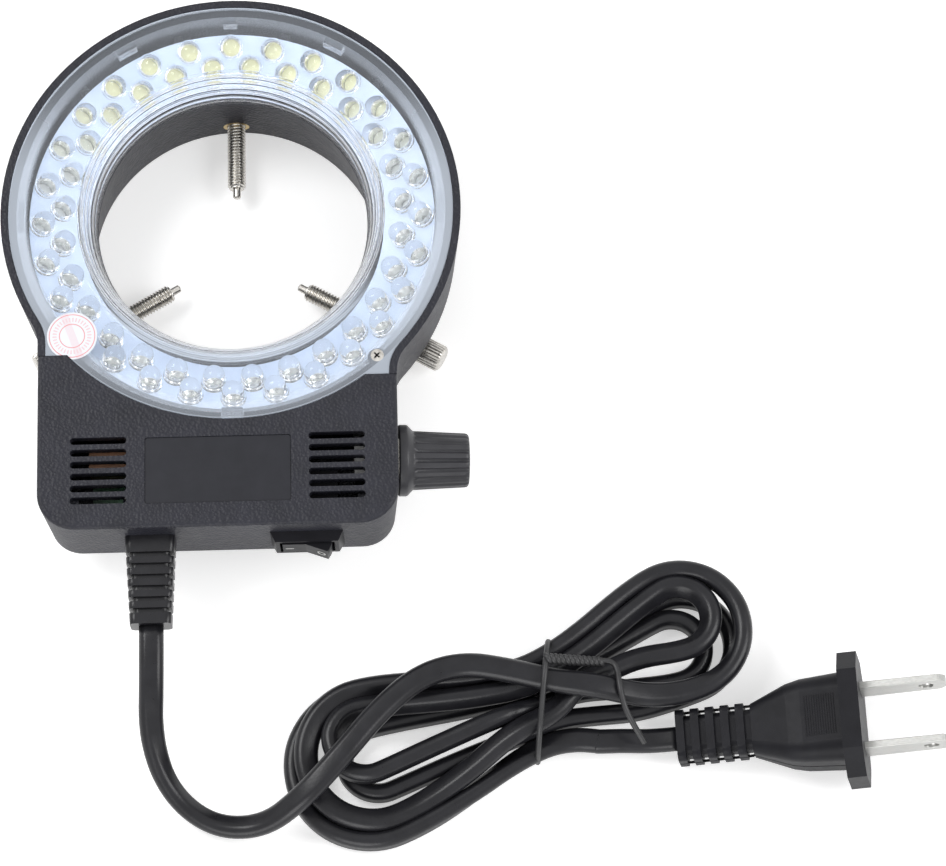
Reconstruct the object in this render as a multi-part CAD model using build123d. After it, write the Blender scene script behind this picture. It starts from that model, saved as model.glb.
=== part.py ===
from build123d import *
import os
from math import atan, atan2, ceil, cos, degrees, hypot, pi, radians, sin, sqrt, tan

# Ring light for a stereo microscope, millimetres.
# Origin: centre of the clamping bore on the rear face of the collar.
# +Z leaves the LED side, +Y points away from the control box, the light lies on its collar.

os.makedirs("parts", exist_ok=True)

LOW = (Align.CENTER, Align.CENTER, Align.MIN)
HIGH = (Align.CENTER, Align.CENTER, Align.MAX)

# moulded body
front_z = 30.0
shell_z = 10.0
floor_t = 2.0
wall_t = 2.0
ring_r = 48.0
draft_run = 1.3
left_step = 8.0
right_step = 14.0
box_reach = 21.7
box_left = ring_r - left_step
box_right = ring_r - right_step
box_low = ring_r + box_reach
box_corner = 8.0
neck_left_r = 9.0
neck_right_r = 8.0
back_edge = 0.8
floor_z = shell_z + floor_t
draft = degrees(atan(draft_run / (front_z - shell_z)))
lean = tan(radians(draft))

# collar, tapered bore and inner tube
collar_r = 36.0
collar_chamfer = 0.5
bore_rear_r = 30.75
bore_front_r = 28.3
tube_top_z = 20.5
tube_root_r = 31.7
tube_top_r = 30.3
rim_w = 1.6
channel_wall = 1.6
partition_r = ring_r - rim_w
channel_r = partition_r - channel_wall

# window
lens_t = 1.8
lens_seat_z = 28.0
lens_r = ring_r - rim_w
rim_t = 1.5
fit_gap = 0.1
ear_right_step = 10.4
ear_left_step = 16.2
ear_right_y = ring_r - ear_right_step
ear_left_y = ring_r - ear_left_step
sleeve_t = 1.4
sleeve_mouth_r = 31.2
sleeve_knee_r = 28.84
sleeve_knee_z = 23.7
sleeve_foot_r = 28.4
mouth_round = 0.8
tab_play = 0.2
tab_t = 1.4
tab_out_r = channel_r - tab_play
tab_in_r = tab_out_r - tab_t
tab_drop = 2.6
tab_narrow = 3.0
tab_mid = 4.5
tab_wide = 7.5
key_w = 4.3
key_play = 0.2
key_t = 2.6
key_out_r = lens_r - key_play
key_in_r = key_out_r - key_t
key_drop = 2.0
notch_gap = 0.2
ear_screw_step = 3.08
ear_screw_angles = [-48.08, -142.93]
ear_screw_r = ring_r - ear_screw_step
ear_screws = [(ear_screw_r * cos(radians(a)), ear_screw_r * sin(radians(a))) for a in ear_screw_angles]
ear_post_r = 2.0
ear_head_r = 1.35
ear_head_t = 0.9
ear_shank_r = 0.7
ear_shank_l = 6.0
cross_w = 0.35
cross_depth = 0.45

# control box lid
lid_z = 27.9
lid_arc_gap = 0.2
lid_arc_r = lens_r + lid_arc_gap
lid_edge = 0.8
slot_w = 11.55
slot_h = 1.5
slot_pitch = 2.58
slot_step_y = 2.75
slot_step_x = 12.6
slot_first_y = ring_r + slot_step_y
slot_left_x = box_left - slot_step_x
slot_right_x = box_right - slot_step_x
slot_rows = 6
label_w = 29.9
label_h = 14.3
label_x = 2.95
label_step_y = 9.45
label_y = ring_r + label_step_y
label_depth = 0.35
label_corner = 0.5
post_side = 6.3
post_low = 6.3
post_left_high = 7.5
post_right_high = 4.2
lid_posts = [
    (post_side - box_left, post_low - box_low),
    (box_right - post_side, post_low - box_low),
    (post_side - box_left, post_left_high - ring_r),
    (box_right - post_side, post_right_high - ring_r),
]
lid_post_r = 2.2
lid_boss_r = 3.4
lid_boss_h = 3.0
lid_sink_r = 2.4
lid_sink_h = 3.0
lid_head_r = 2.2
lid_head_t = 1.8
lid_shank_r = 1.1
lid_pass_r = 1.3
lid_shank_l = 10.0

# LED board, a shallow cone seated on ribs of the channel
board_play = 2.3
board_in_r = tube_root_r
board_out_r = channel_r - board_play
board_in_z = 20.0
board_out_z = 24.0
board_t = 1.6
rib_count = 12
rib_deg = 2.6
led_in_step = 4.4
led_out_step = 2.5
led_in_r = board_in_r + led_in_step
led_out_r = board_out_r - led_out_step
led_count = 28
led_body_r = 2.4
led_flange_r = 2.75
led_flange_t = 0.9
led_side_h = 3.1
led_tall = 4.6
led_crown_r = 1.25
led_stand = 0.04

# clamp screws, M4 with knurled heads
clamp_z = 4.5
clamps = [(90.0, 13.3), (210.0, 14.15), (330.0, 15.1)]
stud_r = 1.975
stud_l = 22.9
stud_end = 0.5
stud_in_head = 6.0
dog_r = 0.85
dog_l = 2.1
dog_end = 0.25
insert_r = 2.8
insert_bore_r = 2.05
head_r = 2.9
head_groove = 0.22
head_l = 10.0
head_end = 0.6
head_ribs = 24

# dimmer
knob_step = 4.9
knob_y = -ring_r - knob_step
knob_z = 19.5
knob_gap = 0.4
skirt_r = 7.45
skirt_t = 1.9
skirt_step = 1.0
grip_r = 6.1
grip_end_r = 5.55
knob_l = 15.0
knob_end = 0.6
flute_count = 18
flute_depth = 0.45
nut_recess_r = 6.15
nut_recess_h = 2.6
bush_recess_r = 3.9
bush_recess_h = 4.0
shaft_r = 3.0
shaft_low = 5.8
shaft_high = 12.5
bush_r = 3.5
bush_bore_r = 3.05
bush_high = 3.4
pot_w = 11.4
pot_h = 9.7
pot_t = 6.8
nut_w = 10.0
nut_t = 2.0

# rocker switch
switch_x = 14.76
switch_z = 18.9
bezel_w = 15.0
bezel_h = 10.5
bezel_top_w = 12.9
bezel_top_h = 8.6
bezel_t = 2.0
switch_body_w = 13.0
switch_body_h = 8.5
switch_body_l = 14.0
well_w = 11.2
well_h = 6.8
well_depth = 5.5
rocker_h = 6.2
rocker_sweep_r = 5.3
rocker_pivot = 0.6
rocker_dip = 2.3
rocker_low = 3.0
rocker_shoulder = 0.9
rocker_foot = 2.0
rocker_tilt = 10.0
trunnion_r = 0.7
trunnion_bore_r = 0.75
trunnion_l = 0.75
trunnion_gap = 0.1

# strain relief of the box
relief_x = -17.3
relief_z = 20.8
relief_l = 18.5
relief_w = 10.3
relief_h = 6.8
relief_end_w = 8.5
relief_end_h = 6.0
relief_round = 1.2
relief_collar = 3.5
relief_groove = 0.95
relief_pitch = 2.35
relief_groove_depth = 0.8
relief_grooves = 6
neck_w = 8.0
neck_h = 5.4
inner_w = 9.6
inner_h = 6.6
inner_t = 1.8

# driver board
driver_x = -11.8
driver_step = 9.0
driver_y = -ring_r - driver_step
driver_w = 35.6
driver_h = 17.0
driver_t = 1.6
driver_z = 14.4
board_spots = [(-15.4, -6.2), (15.4, 6.2)]
board_posts = [(driver_x + x, driver_y + y) for x, y in board_spots]
board_post_r = 2.3
board_head_r = 2.1
board_head_t = 1.5
board_shank_r = 1.1
board_shank_l = 3.6
cap_r = 3.15
cap_l = 10.6
cap_places = [(-7.7, -4.9), (-0.4, -4.9), (13.4, -4.2)]
cap_spots = [(driver_x + x, driver_y + y) for x, y in cap_places]
film_w = 8.5
film_h = 4.0
film_l = 8.0
film_at = (-13.7, 4.0)
film_x = driver_x + film_at[0]
film_y = driver_y + film_at[1]
coil_w = 11.0
coil_h = 9.5
coil_l = 10.5
coil_at = (-1.2, 3.5)
coil_x = driver_x + coil_at[0]
coil_y = driver_y + coil_at[1]
core_w = 4.2
core_over = 0.8
bridge_w = 6.0
bridge_h = 5.0
bridge_t = 2.6
bridge_at = (6.6, -5.0)
bridge_x = driver_x + bridge_at[0]
bridge_y = driver_y + bridge_at[1]
wire_r = 0.6
wire_x = [-5.6, -3.8]
wire_root_step = 2.5
wire_rise = 3.6
wire_top_step = 2.0
wire_root_y = -ring_r - wire_root_step
wire_top_y = wire_top_step - board_out_r
wire_gap = 0.05
pass_w = 4.6
pass_h = 2.4

# cord: one round tube of the flat cord's section area
cord_r = 2.2
lead_points = [
    (-17.3, -87.563, 19.6),
    (-17.3, -97.542, 18.951),
    (-18.1, -109.0, 10.9),
    (-14.5, -118.8, 4.9),
    (-6.0, -125.5, 2.6),
    (4.6, -126.3, 4.4),
    (13.4, -121.8, 11.6),
    (21.0, -114.0, 13.7),
    (29.0, -104.5, 13.5),
    (37.3, -97.6, 13.6),
    (46.177, -95.293, 13.8),
    (55.026, -96.933, 13.8),
]
tail_points = [
    (73.289, -109.717, 3.6),
    (78.789, -109.669, 3.6),
    (84.483, -109.68, 2.618),
    (89.9, -109.5, 3.55),
]

# hank: four loops in two layers round two lobes, drawn in at the waist
hank_x = 61.1
hank_y = -100.1
hank_turn = 22.5
low_z = 2.2
layer_step = 4.95
waist_lift = 1.7
lobe_right = 29.0
lobe_left = 33.0
right_out_r = 12.6
right_in_r = 7.3
left_out_r = 16.4
left_in_r = 10.2
waist_in = 2.65
waist_out = 7.9
waist_extra = 0.4
entry_lift = 1.4
entry_rise = -0.2
high_z = low_z + layer_step
top_z = high_z + layer_step
# stretches off the loops: along, across, height, heading in degrees, rise
hank_entry = [
    (9.2, -2.9, 13.7, -29.0, -0.03),
    (17.0, -7.1, 13.1, -31.0, -0.12),
    (22.6, -10.8, 11.3, -29.0, -0.42),
]
hank_climb = [
    (0.0, -2.65, 8.8, 0.0, 0.0),
    (8.0, -2.4, 8.1, 1.0, -0.14),
    (18.0, -3.3, 3.9, -9.0, -0.3),
]
hank_spread = [
    (0.0, -3.3, 3.9, -5.0, 0.0),
    (12.0, -7.9, 2.8, -26.0, -0.06),
]
hank_exit = [
    (-5.5, -10.2, 3.5, -1.0, 0.0),
    (3.5, -11.9, 3.6, -22.0, 0.0),
]

# tie wire
tie_r = 0.65
tie_x = 62.5
tie_corner = 3.0
tie_loop = [
    (-115.0, 0.66),
    (-87.3, 0.66),
    (-87.3, 12.0),
    (-93.6, 17.4),
    (-103.2, 17.4),
    (-115.0, 11.2),
]
tie_stub_r = 1.15
tie_stub = [(62.5, -95.4, 17.5), (75.2, -94.6, 17.4)]
tie_tail = [
    (74.6, -94.6, 17.2),
    (78.2, -95.2, 17.2),
    (79.4, -102.4, 16.6),
    (82.1, -111.0, 8.6),
]

# plug
plug_at = (89.9, -109.5, 3.55)
plug_heading = 1.9
plug_pitch = 9.76
ribs_w = 11.0
ribs_h = 7.2
ribs_core_w = 8.6
ribs_core_h = 5.8
rib_t = 1.7
rib_pitch = 3.1
plug_ribs = 5
throat_l = 15.5
body_sections = [(0.0, 10.6, 7.0, 2.2), (7.6, 16.4, 12.0, 3.2), (10.6, 17.6, 13.2, 3.4), (18.8, 18.8, 14.4, 4.0)]
flange_w = 26.6
flange_h = 19.0
flange_t = 4.0
flange_corner = 5.0
blade_gap = 12.7
blade_h = 6.35
blade_t = 1.5
blade_l = 17.5
blade_root = 6.0
blade_corner = 1.4
blade_hole_r = 1.5
blade_hole_in = 4.2

# round seal
seal_angle = -140.11
seal_step = 5.12
seal_x = (ring_r - seal_step) * cos(radians(seal_angle))
seal_y = (ring_r - seal_step) * sin(radians(seal_angle))
seal_r = 5.2
seal_t = 0.12


def turned(points, sweep=360.0, start=0.0):
    face = make_face(Polyline(*[(r, 0, z) for r, z in points], close=True))
    return Rot(0, 0, start) * revolve(face, axis=Axis.Z, revolution_arc=sweep)


def post(x, y, z, r, h):
    return Pos(x, y, z) * Cylinder(r, h, align=LOW)


def plan(inset):
    # outline of ring and box at the front plane, moved inward
    box = Rectangle(box_left + box_right - 2 * inset, box_low - inset, align=(Align.MIN, Align.MIN))
    box = Pos(inset - box_left, inset - box_low) * box
    box = fillet(box.vertices().sort_by(Axis.Y)[:2], box_corner - inset)
    both = Sketch() + [Circle(ring_r - inset), box]
    for side, neck in ((box_right - inset, neck_right_r), (inset - box_left, neck_left_r)):
        y = -sqrt((ring_r - inset) ** 2 - side ** 2)
        corner = min(both.vertices(), key=lambda v: hypot(v.X - side, v.Y - y))
        both = fillet(corner, neck + inset)
    return both


def moulded(inset, low, high):
    # block with the draft of the walls between two heights
    face = plan(inset + (front_z - high) * lean)
    return extrude(Pos(0, 0, high) * face, amount=high - low, dir=(0, 0, -1), taper=draft)


def below_ears(gap):
    # plan area of the box that belongs to the lid
    right = Rectangle(box_right, box_low, align=(Align.MIN, Align.MAX))
    left = Rectangle(box_left, box_low, align=(Align.MAX, Align.MAX))
    return Pos(0, -ear_right_y - gap) * right + Pos(0, -ear_left_y - gap) * left


def bore_r(z):
    return bore_rear_r + (bore_front_r - bore_rear_r) * z / tube_top_z


def tube_r(z):
    return tube_root_r + (tube_top_r - tube_root_r) * (z - shell_z) / (tube_top_z - shell_z)


def board_z(r):
    return board_in_z + (board_out_z - board_in_z) * (r - board_in_r) / (board_out_r - board_in_r)


board_slope = atan2(board_out_z - board_in_z, board_out_r - board_in_r)
board_drop = board_t / cos(board_slope)


def star(count, crest, root):
    # ribbed round outline, equal crests and grooves
    points = []
    for i in range(count):
        for share, r in ((-0.3, crest), (0.3, crest), (0.42, root), (0.58, root)):
            a = 2 * pi * (i + share) / count
            points.append((r * cos(a), r * sin(a)))
    return make_face(Polyline(*points, close=True))


def frame_at(x, y, z, normal, across):
    return Plane(origin=(x, y, z), x_dir=across, z_dir=normal)


wall_out = cos(radians(draft))
wall_down = sin(radians(draft))
knob_plane = frame_at(
    box_right - (front_z - knob_z) * lean, knob_y, knob_z, (wall_out, 0, -wall_down), (0, 1, 0)
)
switch_plane = frame_at(
    switch_x, (front_z - switch_z) * lean - box_low, switch_z, (0, -wall_out, -wall_down), (1, 0, 0)
)
relief_plane = frame_at(
    relief_x, (front_z - relief_z) * lean - box_low, relief_z, (0, -wall_out, -wall_down), (1, 0, 0)
)


def rear_housing():
    body = moulded(0, shell_z, front_z)
    body = fillet(body.faces().sort_by(Axis.Z)[0].outer_wire().edges(), back_edge)
    collar = turned([
        (bore_r(0), 0),
        (collar_r - collar_chamfer, 0),
        (collar_r, collar_chamfer),
        (collar_r, floor_z),
        (bore_r(floor_z), floor_z),
    ])
    body += collar
    channel = turned([
        (tube_r(floor_z), floor_z),
        (channel_r, floor_z),
        (channel_r, lens_seat_z),
        (0, lens_seat_z),
        (0, tube_top_z),
        (tube_top_r, tube_top_z),
    ])
    bore = turned([(0, 0), (bore_rear_r, 0), (bore_front_r, tube_top_z), (0, tube_top_z)])
    rebate = plan(rim_t) - below_ears(0) + Circle(lens_r + fit_gap)
    room = moulded(wall_t, floor_z, front_z) - post(0, 0, 0, partition_r, front_z)
    room &= extrude(Pos(0, 0, floor_z) * below_ears(rim_t), front_z)
    body -= channel + bore
    body -= room
    body -= extrude(Pos(0, 0, lens_seat_z) * rebate, front_z)
    body -= extrude(Pos(0, 0, lid_z) * (below_ears(0) - Circle(lens_r + fit_gap)), front_z)
    rib = turned([
        (tube_r(floor_z) - fit_gap, floor_z),
        (channel_r, floor_z),
        (channel_r, board_z(board_out_r) - board_drop),
        (board_out_r, board_z(board_out_r) - board_drop),
        (board_in_r, board_in_z - board_drop),
        (tube_top_r, board_in_z - board_drop),
    ], rib_deg, -rib_deg / 2)
    for i in range(rib_count):
        body += Rot(0, 0, 360.0 * (i + 0.5) / rib_count) * rib
    for x, y in ear_screws:
        body += post(x, y, floor_z, ear_post_r, lens_seat_z - floor_z)
        body -= post(x, y, lens_seat_z - ear_shank_l, ear_shank_r, ear_shank_l)
    for x, y in lid_posts:
        body += post(x, y, floor_z, lid_boss_r, lid_boss_h)
        body -= post(x, y, shell_z, lid_sink_r, lid_sink_h)
        body -= post(x, y, shell_z, lid_pass_r, lid_boss_h + floor_t)
    for x, y in board_posts:
        body += post(x, y, floor_z, board_post_r, driver_z - floor_z)
        body -= post(x, y, driver_z + driver_t - board_shank_l, board_shank_r, board_shank_l)
    notch = Box(key_w + 2 * notch_gap, partition_r - channel_r + rim_t, key_drop + notch_gap, align=HIGH)
    body -= Pos(0, -(partition_r + channel_r) / 2, lens_seat_z) * notch
    gate = Box(pass_w, partition_r - channel_r + rim_t, pass_h)
    gate_z = driver_z + driver_t + wire_rise
    body -= Pos((wire_x[0] + wire_x[1]) / 2, -(partition_r + channel_r) / 2, gate_z) * gate
    for angle, _ in clamps:
        body -= radial(angle, 0) * Cylinder(insert_r, ring_r - channel_r + collar_r, align=LOW)
    body -= knob_plane * Pos(0, 0, -wall_t) * Cylinder(bush_r, 2 * wall_t)
    body -= switch_plane * Box(switch_body_w, switch_body_h, 4 * wall_t)
    body -= relief_plane * Box(neck_w, neck_h, 4 * wall_t)
    return body


def radial(angle, r):
    a = radians(angle)
    origin = (r * cos(a), r * sin(a), clamp_z)
    return Plane(origin=origin, x_dir=(-sin(a), cos(a), 0), z_dir=(cos(a), sin(a), 0))


def front_cover():
    area = below_ears(fit_gap) - Circle(lid_arc_r)
    lid = moulded(0, lid_z, front_z) & extrude(Pos(0, 0, lid_z) * area, front_z)
    lid = fillet([e for e in lid.edges() if on_lid_rim(e)], lid_edge)
    for x, y in lid_posts:
        lid += post(x, y, floor_z + lid_boss_h, lid_post_r, lid_z - floor_z - lid_boss_h)
        lid -= post(x, y, floor_z + lid_boss_h, lid_shank_r, lid_shank_l - lid_boss_h + lid_sink_h - floor_t)
    for x in (-slot_left_x, slot_right_x):
        for i in range(slot_rows):
            slot = SlotOverall(slot_w, slot_h)
            lid -= extrude(Pos(x, -slot_first_y - i * slot_pitch, lid_z) * slot, front_z - lid_z)
    label = Pos(-label_x, -label_y, front_z) * RectangleRounded(label_w, label_h, label_corner)
    return lid - extrude(label, -label_depth)


def on_lid_rim(edge):
    # front edges along the outer walls, not those of the seams
    middle, start, end = edge.center(), edge @ 0, edge @ 1
    seam = abs(start.Y - end.Y) < fit_gap and middle.Y > -ring_r
    return middle.Z > front_z - fit_gap and hypot(middle.X, middle.Y) > lid_arc_r and not seam


def lens_cover():
    area = plan(rim_t + fit_gap) - below_ears(-fit_gap) + Circle(lens_r)
    hole = Circle(sleeve_mouth_r + mouth_round)
    lens = extrude(Pos(0, 0, lens_seat_z) * (area - hole), lens_t)
    top = lens_seat_z + lens_t
    lens += turned([
        (sleeve_mouth_r + sleeve_t, top),
        (sleeve_mouth_r + mouth_round, top),
        (sleeve_mouth_r + mouth_round / 3, top - mouth_round / 3),
        (sleeve_mouth_r, top - mouth_round),
        (sleeve_knee_r, sleeve_knee_z),
        (sleeve_foot_r, tube_top_z),
        (sleeve_foot_r + sleeve_t, tube_top_z),
        (sleeve_knee_r + sleeve_t, sleeve_knee_z),
        (sleeve_mouth_r + sleeve_t - mouth_round / 2, lens_seat_z),
        (sleeve_mouth_r + 2 * sleeve_t, lens_seat_z),
    ])
    for angle, width in ((0, tab_wide), (60, tab_mid), (90, tab_narrow), (120, tab_mid), (180, tab_wide)):
        share = degrees(width / tab_out_r)
        lens += turned([
            (tab_in_r, lens_seat_z - tab_drop),
            (tab_out_r, lens_seat_z - tab_drop),
            (tab_out_r, lens_seat_z),
            (tab_in_r, lens_seat_z),
        ], share, angle - share / 2)
    key = Box(key_w, key_out_r - key_in_r, key_drop, align=HIGH)
    lens += Pos(0, -(key_out_r + key_in_r) / 2, lens_seat_z) * key
    for x, y in ear_screws:
        lens -= post(x, y, lens_seat_z, ear_shank_r, lens_t)
        lens -= post(x, y, top - ear_head_t, ear_head_r, ear_head_t)
    return lens


def lens_screws():
    made = []
    top = lens_seat_z + lens_t
    for x, y in ear_screws:
        screw = post(x, y, top - ear_head_t, ear_head_r, ear_head_t)
        screw += post(x, y, lens_seat_z - ear_shank_l, ear_shank_r, ear_shank_l + lens_t - ear_head_t)
        for turn in (45, 135):
            cut = Box(ear_head_r * 1.3, cross_w, cross_depth, align=HIGH)
            screw -= Pos(x, y, top) * Rot(0, 0, turn) * cut
        made.append(screw)
    return made


def led_board():
    return turned([
        (board_in_r, board_in_z),
        (board_in_r, board_in_z - board_drop),
        (board_out_r, board_out_z - board_drop),
        (board_out_r, board_out_z),
    ])


def led_row(r, shift):
    shape = make_face(Polyline(
        (0, 0, 0),
        (led_flange_r, 0, 0),
        (led_flange_r, 0, led_flange_t),
        (led_body_r, 0, led_flange_t),
        (led_body_r, 0, led_side_h),
        (led_crown_r, 0, led_tall),
        (0, 0, led_tall),
        close=True,
    ))
    led = revolve(shape, axis=Axis.Z)
    tilt = Rot(0, -degrees(board_slope), 0) * Pos(0, 0, led_stand)
    row = []
    for i in range(led_count):
        turn = 90.0 + 360.0 * (i + shift) / led_count
        row.append(Rot(0, 0, turn) * Pos(r, 0, board_z(r)) * tilt * led)
    return row


def insert(angle):
    block = radial(angle, 0) * Cylinder(insert_r, collar_r, align=LOW)
    block &= turned([(bore_r(0), 0), (collar_r, 0), (collar_r, shell_z), (bore_r(shell_z), shell_z)])
    return block - radial(angle, 0) * Cylinder(insert_bore_r, 2 * collar_r, align=LOW)


def clamp_tip(angle, r):
    return radial(angle, r) * turned([(0, 0), (dog_r - dog_end, 0), (dog_r, dog_end), (dog_r, dog_l), (0, dog_l)])


def clamp_stud(angle, r):
    return radial(angle, r) * turned([
        (0, dog_l),
        (stud_r - stud_end, dog_l),
        (stud_r, dog_l + stud_end),
        (stud_r, dog_l + stud_l + stud_in_head),
        (0, dog_l + stud_l + stud_in_head),
    ])


def clamp_head(angle, r):
    start = dog_l + stud_l
    head = extrude(star(head_ribs, head_r, head_r - head_groove), head_l)
    head &= turned([
        (0, 0),
        (head_r - head_end, 0),
        (head_r, head_end),
        (head_r, head_l - head_end),
        (head_r - head_end, head_l),
        (0, head_l),
    ])
    head -= Cylinder(stud_r, stud_in_head, align=LOW)
    return radial(angle, r) * Pos(0, 0, start) * head


def dimmer_knob():
    grip_low = knob_gap + skirt_t + skirt_step
    knob = turned([
        (0, knob_gap),
        (skirt_r, knob_gap),
        (skirt_r, knob_gap + skirt_t),
        (skirt_r - skirt_step, grip_low),
        (0, grip_low),
    ])
    narrow = degrees(atan2(grip_r - grip_end_r, knob_l - grip_low))
    grip = extrude(star(flute_count, grip_r, grip_r - flute_depth), knob_l - grip_low, taper=narrow)
    knob += Pos(0, 0, grip_low) * grip
    knob -= post(0, 0, knob_gap, nut_recess_r, nut_recess_h)
    knob -= post(0, 0, knob_gap, bush_recess_r, bush_recess_h)
    knob -= post(0, 0, knob_gap, shaft_r, shaft_high - knob_gap)
    trim = turned([
        (0, 0),
        (skirt_r, 0),
        (skirt_r, knob_l - knob_end),
        (grip_end_r, knob_l - knob_end),
        (grip_end_r - knob_end, knob_l),
        (0, knob_l),
    ])
    return knob_plane * (knob & trim)


def potentiometer():
    pot = Pos(0, 0, -wall_t) * Box(pot_w, pot_h, pot_t, align=HIGH)
    pot += post(0, 0, -wall_t, bush_r, bush_high + wall_t)
    pot -= post(0, 0, -shaft_low - wall_t / 4, bush_bore_r, shaft_low + wall_t / 4 + bush_high)
    return knob_plane * pot


def switch_bezel():
    foot = Rectangle(bezel_w, bezel_h)
    top = Pos(0, 0, bezel_t) * Rectangle(bezel_top_w, bezel_top_h)
    bezel = loft([foot, top])
    bezel += Box(switch_body_w, switch_body_h, switch_body_l, align=HIGH)
    bezel -= Pos(0, 0, bezel_t) * Box(well_w, well_h, well_depth + bezel_t, align=HIGH)
    pins = Cylinder(trunnion_bore_r, rocker_h + 2 * (trunnion_l + trunnion_gap), rotation=(90, 0, 0))
    return switch_plane * (bezel - Pos(0, 0, rocker_pivot) * pins)


def switch_rocker():
    half = rocker_sweep_r + rocker_foot
    rise = half * tan(radians(rocker_tilt))
    face = make_face(Polyline(
        (-half, 0, rocker_dip + rise),
        (0, 0, rocker_dip),
        (half, 0, rocker_dip + rise),
        (half, 0, -rocker_shoulder),
        (rocker_foot, 0, -rocker_low),
        (-rocker_foot, 0, -rocker_low),
        (-half, 0, -rocker_shoulder),
        close=True,
    ))
    rocker = extrude(face, rocker_h / 2, both=True)
    rocker &= Pos(0, 0, rocker_pivot) * Cylinder(rocker_sweep_r, rocker_h, rotation=(90, 0, 0))
    rocker += Pos(0, 0, rocker_pivot) * Cylinder(trunnion_r, rocker_h + 2 * trunnion_l, rotation=(90, 0, 0))
    turn = Pos(0, 0, rocker_pivot) * Rot(0, -rocker_tilt, 0) * Pos(0, 0, -rocker_pivot)
    return switch_plane * turn * rocker


def cord_relief():
    foot = RectangleRounded(relief_w, relief_h, relief_round)
    end = Pos(0, 0, relief_l) * RectangleRounded(relief_end_w, relief_end_h, relief_round)
    relief = loft([foot, end])
    for i in range(relief_grooves):
        at = relief_collar + i * relief_pitch
        share = at / relief_l
        w = relief_w + (relief_end_w - relief_w) * share
        h = relief_h + (relief_end_h - relief_h) * share
        ring = Rectangle(2 * w, 2 * h) - RectangleRounded(
            w - 2 * relief_groove_depth, h - 2 * relief_groove_depth, relief_round
        )
        relief -= extrude(Pos(0, 0, at) * ring, relief_groove)
    relief += Box(neck_w, neck_h, wall_t, align=HIGH)
    relief += Pos(0, 0, -wall_t) * Box(inner_w, inner_h, inner_t, align=HIGH)
    return relief_plane * relief


def driver_board():
    board = Pos(driver_x, driver_y, driver_z) * Box(driver_w, driver_h, driver_t, align=LOW)
    for x, y in board_posts:
        board -= post(x, y, driver_z, board_shank_r, driver_t)
    return board


def screws(spots, z, head, head_t, shank, length, down):
    made = []
    for x, y in spots:
        low = z - length if down else z
        head_low = z if down else z - head_t
        made.append(post(x, y, low, shank, length) + post(x, y, head_low, head, head_t))
    return made


def transformer():
    top = driver_z + driver_t
    coil = Box(coil_w, coil_h, coil_l - core_over, align=LOW)
    core = Box(coil_w + 2 * core_over, core_w, coil_l, align=LOW)
    return Pos(coil_x, coil_y, top) * (coil + core)


def free_tube(points, r, name):
    # straight runs joined by tangent arcs
    runs = [hypot(*(b - a for a, b in zip(p, q))) for p, q in zip(points, points[1:])]
    radii = []
    for i in range(1, len(points) - 1):
        a = Vector(*points[i]) - Vector(*points[i - 1])
        b = Vector(*points[i + 1]) - Vector(*points[i])
        half = a.get_angle(b) / 2
        radii.append(0.45 * min(runs[i - 1], runs[i]) / tan(radians(half)))
    path = FilletPolyline(*points, radius=radii)
    start = Plane(origin=path @ 0, z_dir=path % 0)
    tube = sweep(start * Circle(r), path=path)
    share = tube.volume / (pi * r * r * path.length)
    print(name, "radii", [round(x, 1) for x in radii], "length", round(path.length, 1), "volume share", round(share, 4))
    return tube


def hank_at(u, v, z):
    a = radians(hank_turn)
    return Vector(hank_x + u * cos(a) - v * sin(a), hank_y + u * sin(a) + v * cos(a), z)


def heading(turn, rise):
    a = radians(hank_turn + turn)
    return Vector(cos(a), sin(a), rise).normalized()


def hank_nodes():
    # along, across, height, heading in degrees, rise
    low, high, top = low_z + waist_lift, high_z + waist_lift, top_z + waist_lift
    step = cord_r * 2
    run = radians(-33.0)
    nodes = [(-step, waist_out - waist_in, top, -33.0, 0)]
    nodes += [(-step + step * cos(run), waist_out - waist_in + step * sin(run), top, -33.0, 0)]
    nodes += hank_entry
    laps = [
        (right_out_r, left_out_r, high_z, waist_out, high, entry_lift, entry_rise),
        (right_in_r, left_in_r, high_z, waist_in, high, 0, 0),
        (right_in_r, left_in_r, low_z, waist_in, low, 0, 0),
        (right_out_r, left_out_r, low_z, waist_out, low, 0, 0),
    ]
    between = [[(0, -waist_out - waist_extra, high, 0, 0)], hank_climb, hank_spread, hank_exit]
    for (right, left, z, waist, waist_z, lift, rise), join in zip(laps, between):
        nodes += [(lobe_right, -right, z + lift, 0, rise), (lobe_right + right, 0, z, 90, 0)]
        nodes += [(lobe_right, right, z, 180, 0), (0, waist, waist_z, 180, 0)]
        nodes += [(-lobe_left, left, z, 180, 0), (-lobe_left - left, 0, z, 270, 0), (-lobe_left, -left, z, 360, 0)]
        nodes += join
    u, v, z, turn, _ = hank_exit[-1]
    end = radians(turn)
    return nodes + [(u + step * cos(end), v + step * sin(end), z, turn, 0)]


def joined(p, t, q, s):
    # two tangent arcs from p along t to q along s
    v = q - p
    c = t.dot(s)
    both = t + s
    if 1 - c < 1e-9:
        reach = v.dot(v) / (4 * v.dot(s))
    else:
        b = v.dot(both)
        reach = (sqrt(b * b + 2 * (1 - c) * v.dot(v)) - b) / (2 * (1 - c))
    mid = (p + q + (t - s) * reach) * 0.5
    return mid


def arc_edge(p, t, q):
    chord = q - p
    side = chord - t * chord.dot(t)
    if side.length < chord.length * 1e-6:
        return Line(p, q), t, None
    normal = side.normalized()
    r = chord.dot(chord) / (2 * side.length)
    turn = 2 * atan2(side.length, chord.dot(t))
    half = turn / 2
    mid = p + t * (r * sin(half)) + normal * (r * (1 - cos(half)))
    end = t * cos(turn) + normal * sin(turn)
    return ThreePointArc(p, mid, q), end, (r, turn, normal)


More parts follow.
